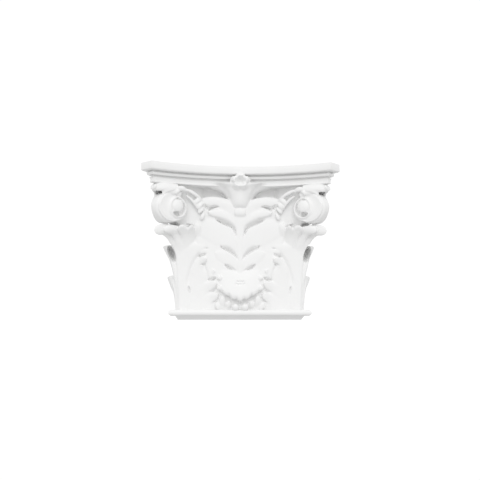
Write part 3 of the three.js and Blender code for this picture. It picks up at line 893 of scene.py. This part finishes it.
def abacus(s):
    """The abacus: its profile carried round a plan of hollow sides and cut horns.

    Each side is an arc about a centre in front of it. An inset makes its radius that much longer,
    and moves the horn's cut in by root two times as much; the horn lies where arc and cut meet.
    """
    inset, z = abacus_profile(s).T
    half = s.shaft_half + s.horn_reach - s.horn_cut
    arc = (half**2 + s.hollow**2) / (2 * s.hollow)
    centre = s.horn_reach - s.hollow + arc
    cut = 2 * s.horn_reach - s.horn_cut + s.shaft_half
    radius = arc + inset
    line = cut - centre - inset * math.sqrt(2)
    horn = np.pi / 4 + np.arcsin(line / (radius * math.sqrt(2)))
    start = np.arcsin((s.shaft_half + s.wall_reach) / radius)
    front_turn = horn[:, None] * np.linspace(-1, 1, 121)
    side_turn = mix(start[:, None], horn[:, None], np.linspace(0, 1, 40))
    r = radius[:, None]
    front = xyz(r * np.sin(front_turn), centre - r * np.cos(front_turn), z[:, None])
    side_x = s.shaft_half + centre - r * np.cos(side_turn)
    right = xyz(side_x, r * np.sin(side_turn) - s.shaft_half, z[:, None])
    return loft(np.concatenate([right * (-1, 1, 1), front, right[:, ::-1]], axis=1))


# Fusing the skins into one casting

SOFTEN_SHARE, SOFTEN_TIMES = 0.5, 5
SHARP_ANGLE = math.radians(40)
DEPTH_KEEP, DEPTH_SPREAD, DEPTH_TIMES = 0.4, 0.6, 4


def evaluated(obj, name):
    """The object's mesh with its modifiers applied, in a new object that takes its place."""
    view = bpy.context.evaluated_depsgraph_get()
    mesh = bpy.data.meshes.new_from_object(obj.evaluated_get(view))
    mesh.name = name
    bpy.data.objects.remove(obj)
    return add_object(name, mesh)


def fuse(s, obj):
    """Casts the overlapping skins as one: a voxel skin, softened, then thinned where it is flat."""
    remesh = obj.modifiers.new("Fuse", "REMESH")
    remesh.mode = "VOXEL"
    remesh.voxel_size = s.voxel * MM
    soften = obj.modifiers.new("Soften", "SMOOTH")
    soften.factor = SOFTEN_SHARE
    soften.iterations = SOFTEN_TIMES
    obj = evaluated(obj, "carving")
    thin = obj.modifiers.new("Thin", "DECIMATE")
    thin.ratio = min(1.0, s.triangles / (2 * len(obj.data.polygons)))
    return evaluated(obj, "carving")


def boolean(obj, other, operation):
    """Joins or cuts one closed object by another."""
    step = obj.modifiers.new(operation, "BOOLEAN")
    step.operation = operation
    step.solver = "MANIFOLD"
    step.object = other
    made = evaluated(obj, obj.name)
    bpy.data.objects.remove(other)
    return made


def behind_wall(s):
    """A block behind the flat back."""
    x, z, depth = 2 * s.shaft_half, 2 * s.height, 2 * s.shaft_half
    corners = np.array([(-x, -s.height), (x, -s.height), (x, z), (-x, z)], float)
    ends = (s.wall_reach - depth, s.wall_reach)
    return mesh_object(s, "behind", [loft([np.insert(corners, 1, end, axis=1) for end in ends])])


def hollow_attribute(mesh):
    """Stores how deep each point lies: the mean lift of its neighbours, spread over a few rings."""
    count = len(mesh.vertices)
    points, normals = np.empty((2, count, 3))
    edges = np.empty((len(mesh.edges), 2), np.int32)
    mesh.vertices.foreach_get("co", points.ravel())
    mesh.vertex_normals.foreach_get("vector", normals.ravel())
    mesh.edges.foreach_get("vertices", edges.ravel())
    a, b = edges.T
    span = unit(points[b] - points[a])
    lift = np.concatenate([(span * normals[a]).sum(axis=1), -(span * normals[b]).sum(axis=1)])
    ends, others = np.concatenate([a, b]), np.concatenate([b, a])
    degree = np.maximum(np.bincount(ends, minlength=count), 1)
    depth = np.bincount(ends, weights=lift, minlength=count) / degree
    for _ in range(DEPTH_TIMES):
        beside = np.bincount(ends, weights=depth[others], minlength=count)
        depth = DEPTH_KEEP * depth + DEPTH_SPREAD * beside / degree
    layer = mesh.attributes.new("depth", "FLOAT", "POINT")
    layer.data.foreach_set("value", depth.astype(np.float32))


# The finish and the stage

CLOUD_SHADE = 0.965  # the darkest clouding, as a share of the plaster's colour
CLOUD_ROUGHNESS = (-0.06, 0.10)  # what the clouding takes from the roughness and adds to it
FLOOR_HALF = 6.0
SKY = {"From Min": -0.5, "From Max": 0.6, "To Min": 0.75, "To Max": 0.91}  # strength by height
SKY_SEEN = 1.05  # the strength that the camera sees
SUN_ENERGY, SUN_SPREAD = 0.86, math.radians(40)
SUN_TURN = (math.radians(54), 0, math.radians(-2))


def add_node(tree, kind, values=None, **settings):
    """A new node, with its settings and the values of its inputs."""
    node = tree.nodes.new("ShaderNode" + kind)
    for name, value in settings.items():
        setattr(node, name, value)
    set_inputs(node, values or {})
    return node


def set_inputs(node, values):
    """Sets a node's inputs by their names."""
    for name, value in values.items():
        node.inputs[name].default_value = value


def link(node, output, other, socket):
    """Joins a node's output to another node's input."""
    node.id_data.links.new(node.outputs[output], other.inputs[socket])


def plaster_material(look):
    """Dry white plaster: faint clouding, dust and painted shade where the carving is deep, and a
    fine tooth.
    """
    material = bpy.data.materials.new("plaster")
    material.use_nodes = True
    tree = material.node_tree
    shader = tree.nodes["Principled BSDF"]
    set_inputs(shader, {"Specular IOR Level": 0.35})
    place = add_node(tree, "TexCoord")
    cloud = add_node(tree, "TexNoise", {"Scale": 26.0, "Detail": 4.0})
    tooth = add_node(tree, "TexNoise", {"Scale": 900.0, "Detail": 3.0})
    for noise in (cloud, tooth):
        link(place, "Object", noise, "Vector")

    plain, shaded = (*look.colour, 1), (*(c * CLOUD_SHADE for c in look.colour), 1)
    base = add_node(tree, "Mix", {"A": plain, "B": shaded}, data_type="RGBA")
    link(cloud, "Fac", base, "Factor")
    # Painted shade with dust: the deeper a point lies in a hollow, the more it takes of the darker
    # dust colour
    depth = add_node(tree, "Attribute", attribute_name="depth")
    dust_and_shade_share = add_node(tree, "MapRange", {"From Min": 0.05, "From Max": 0.45})
    link(depth, "Fac", dust_and_shade_share, "Value")
    tinted = add_node(tree, "Mix", {"B": (*look.dust_and_shade, 1)}, data_type="RGBA")
    link(dust_and_shade_share, "Result", tinted, "Factor")
    link(base, "Result", tinted, "A")
    link(tinted, "Result", shader, "Base Color")

    least, most = (look.roughness + change for change in CLOUD_ROUGHNESS)
    sheen = add_node(tree, "MapRange", {"To Min": least, "To Max": most})
    link(cloud, "Fac", sheen, "Value")
    link(sheen, "Result", shader, "Roughness")
    bump = add_node(tree, "Bump", {"Strength": 0.12, "Distance": 0.0004})
    link(tooth, "Fac", bump, "Height")
    link(bump, "Normal", shader, "Normal")
    return material


def lay_floor(look):
    """A broad pale floor that glows a little, and throws no diffuse light on the piece."""
    x = FLOOR_HALF
    mesh = bpy.data.meshes.new("floor")
    mesh.from_pydata([(-x, -x, 0), (x, -x, 0), (x, x, 0), (-x, x, 0)], [], [(0, 1, 2, 3)])
    paint = bpy.data.materials.new("floor_paint")
    paint.use_nodes = True
    set_inputs(paint.node_tree.nodes["Principled BSDF"], {
        "Base Color": (*look.floor, 1), "Roughness": 0.9,
        "Emission Color": (1, 1, 1, 1), "Emission Strength": 0.25,
    })
    mesh.materials.append(paint)
    floor = add_object("floor", mesh)
    floor.visible_diffuse = False


def light_studio(scene):
    """A sky that is stronger above than below, and one broad key light."""
    world = bpy.data.worlds.new("studio")
    world.use_nodes = True
    tree = world.node_tree
    sky = tree.nodes["Background"]
    set_inputs(sky, {"Color": (1, 1, 1, 1)})
    place = add_node(tree, "TexCoord")
    split = add_node(tree, "SeparateXYZ")
    link(place, "Generated", split, "Vector")
    height = add_node(tree, "MapRange", SKY, interpolation_type="SMOOTHSTEP")
    link(split, "Z", height, "Value")
    seen = add_node(tree, "LightPath")
    strength = add_node(tree, "Mix", {"B": SKY_SEEN})
    link(seen, "Is Camera Ray", strength, "Factor")
    link(height, "Result", strength, "A")
    link(strength, "Result", sky, "Strength")
    scene.world = world

    sun = bpy.data.lights.new("key", "SUN")
    sun.energy = SUN_ENERGY
    sun.angle = SUN_SPREAD
    add_object("key", sun).rotation_euler = SUN_TURN


def set_camera(scene, look):
    """A camera near the floor that looks up at the shaft's front face."""
    target = Vector((0, -NODE_HIGH.y - (SHAFT_HALF - BED_HALF), look.aim_height))
    away = Vector((math.sin(look.azimuth), -math.cos(look.azimuth), 0))
    spot = target + look.distance * away
    spot.z = look.eye_height
    camera = bpy.data.cameras.new("camera")
    camera.lens = look.lens
    camera.sensor_width = 36.0
    eye = add_object("camera", camera)
    eye.location = spot
    eye.rotation_euler = (target - spot).to_track_quat("-Z", "Y").to_euler()
    scene.camera = eye
    scene.view_settings.view_transform = "Standard"


# Operators


class CAPITAL_OT_cast(bpy.types.Operator):
    """Carve and cast the capital as one piece"""

    bl_idname = "capital.cast"
    bl_label = "Cast the capital"

    def execute(self, context):
        s = sizes_mm(context)
        stalks = lobes(BACKING, root=0.9) + stalk_leaf()
        stalks += [to_side(s, skin) for skin in stalks]
        right = [leaf_tip(s), scroll(s), scroll_web(s), *stalks, *lobes(FOOT_LOBES)]
        skins = [bell_relief(s), bib(), *both_halves(right), *calyx(), flower()]
        carving = fuse(s, mesh_object(s, "carving", skins))
        carving = boolean(carving, hollows(s), "DIFFERENCE")
        bell = mesh_object(s, "bell", [bell_moulding(s)])
        cast = boolean(bell, mesh_object(s, "abacus", [abacus(s)]), "UNION")
        cast = boolean(cast, carving, "UNION")
        cast = boolean(cast, behind_wall(s), "DIFFERENCE")
        cast.name = "capital_cast"
        cast.data.shade_smooth()
        cast.data.set_sharp_from_angle(angle=SHARP_ANGLE)
        hollow_attribute(cast.data)
        cast.data.materials.clear()
        cast.data.materials.append(plaster_material(context.scene.plaster_look))
        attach(cast, "root")
        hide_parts("capital")
        return {"FINISHED"}


class CAPITAL_OT_stage(bpy.types.Operator):
    """Lay the floor, light the studio and set the camera"""

    bl_idname = "capital.stage"
    bl_label = "Set the stage"

    def execute(self, context):
        scene, look = context.scene, context.scene.stage_look
        lay_floor(look)
        light_studio(scene)
        set_camera(scene, look)
        return {"FINISHED"}


class CAPITAL_PT_panel(bpy.types.Panel):
    """The capital's sizes, finish and steps"""

    bl_idname = "CAPITAL_PT_panel"
    bl_label = "Capital"
    bl_space_type = "VIEW_3D"
    bl_region_type = "UI"
    bl_category = "Capital"

    def draw(self, context):
        scene = context.scene
        for group in (scene.capital_sizes, scene.plaster_look, scene.stage_look):
            box = self.layout.box()
            for name in group.__annotations__:
                box.prop(group, name)
        self.layout.operator(CAPITAL_OT_cast.bl_idname)
        self.layout.operator(CAPITAL_OT_stage.bl_idname)


GROUPS = {"capital_sizes": CapitalSizes, "plaster_look": PlasterLook, "stage_look": StageLook}
CLASSES = (*GROUPS.values(), CAPITAL_OT_cast, CAPITAL_OT_stage, CAPITAL_PT_panel)


def register():
    for cls in CLASSES:
        bpy.utils.register_class(cls)
    for name, group in GROUPS.items():
        setattr(bpy.types.Scene, name, PointerProperty(type=group))


def unregister():
    for name in GROUPS:
        delattr(bpy.types.Scene, name)
    for cls in reversed(CLASSES):
        bpy.utils.unregister_class(cls)


def main():
    register()
    bpy.ops.capital.cast()
    bpy.ops.capital.stage()


if __name__ == "__main__":
    main()
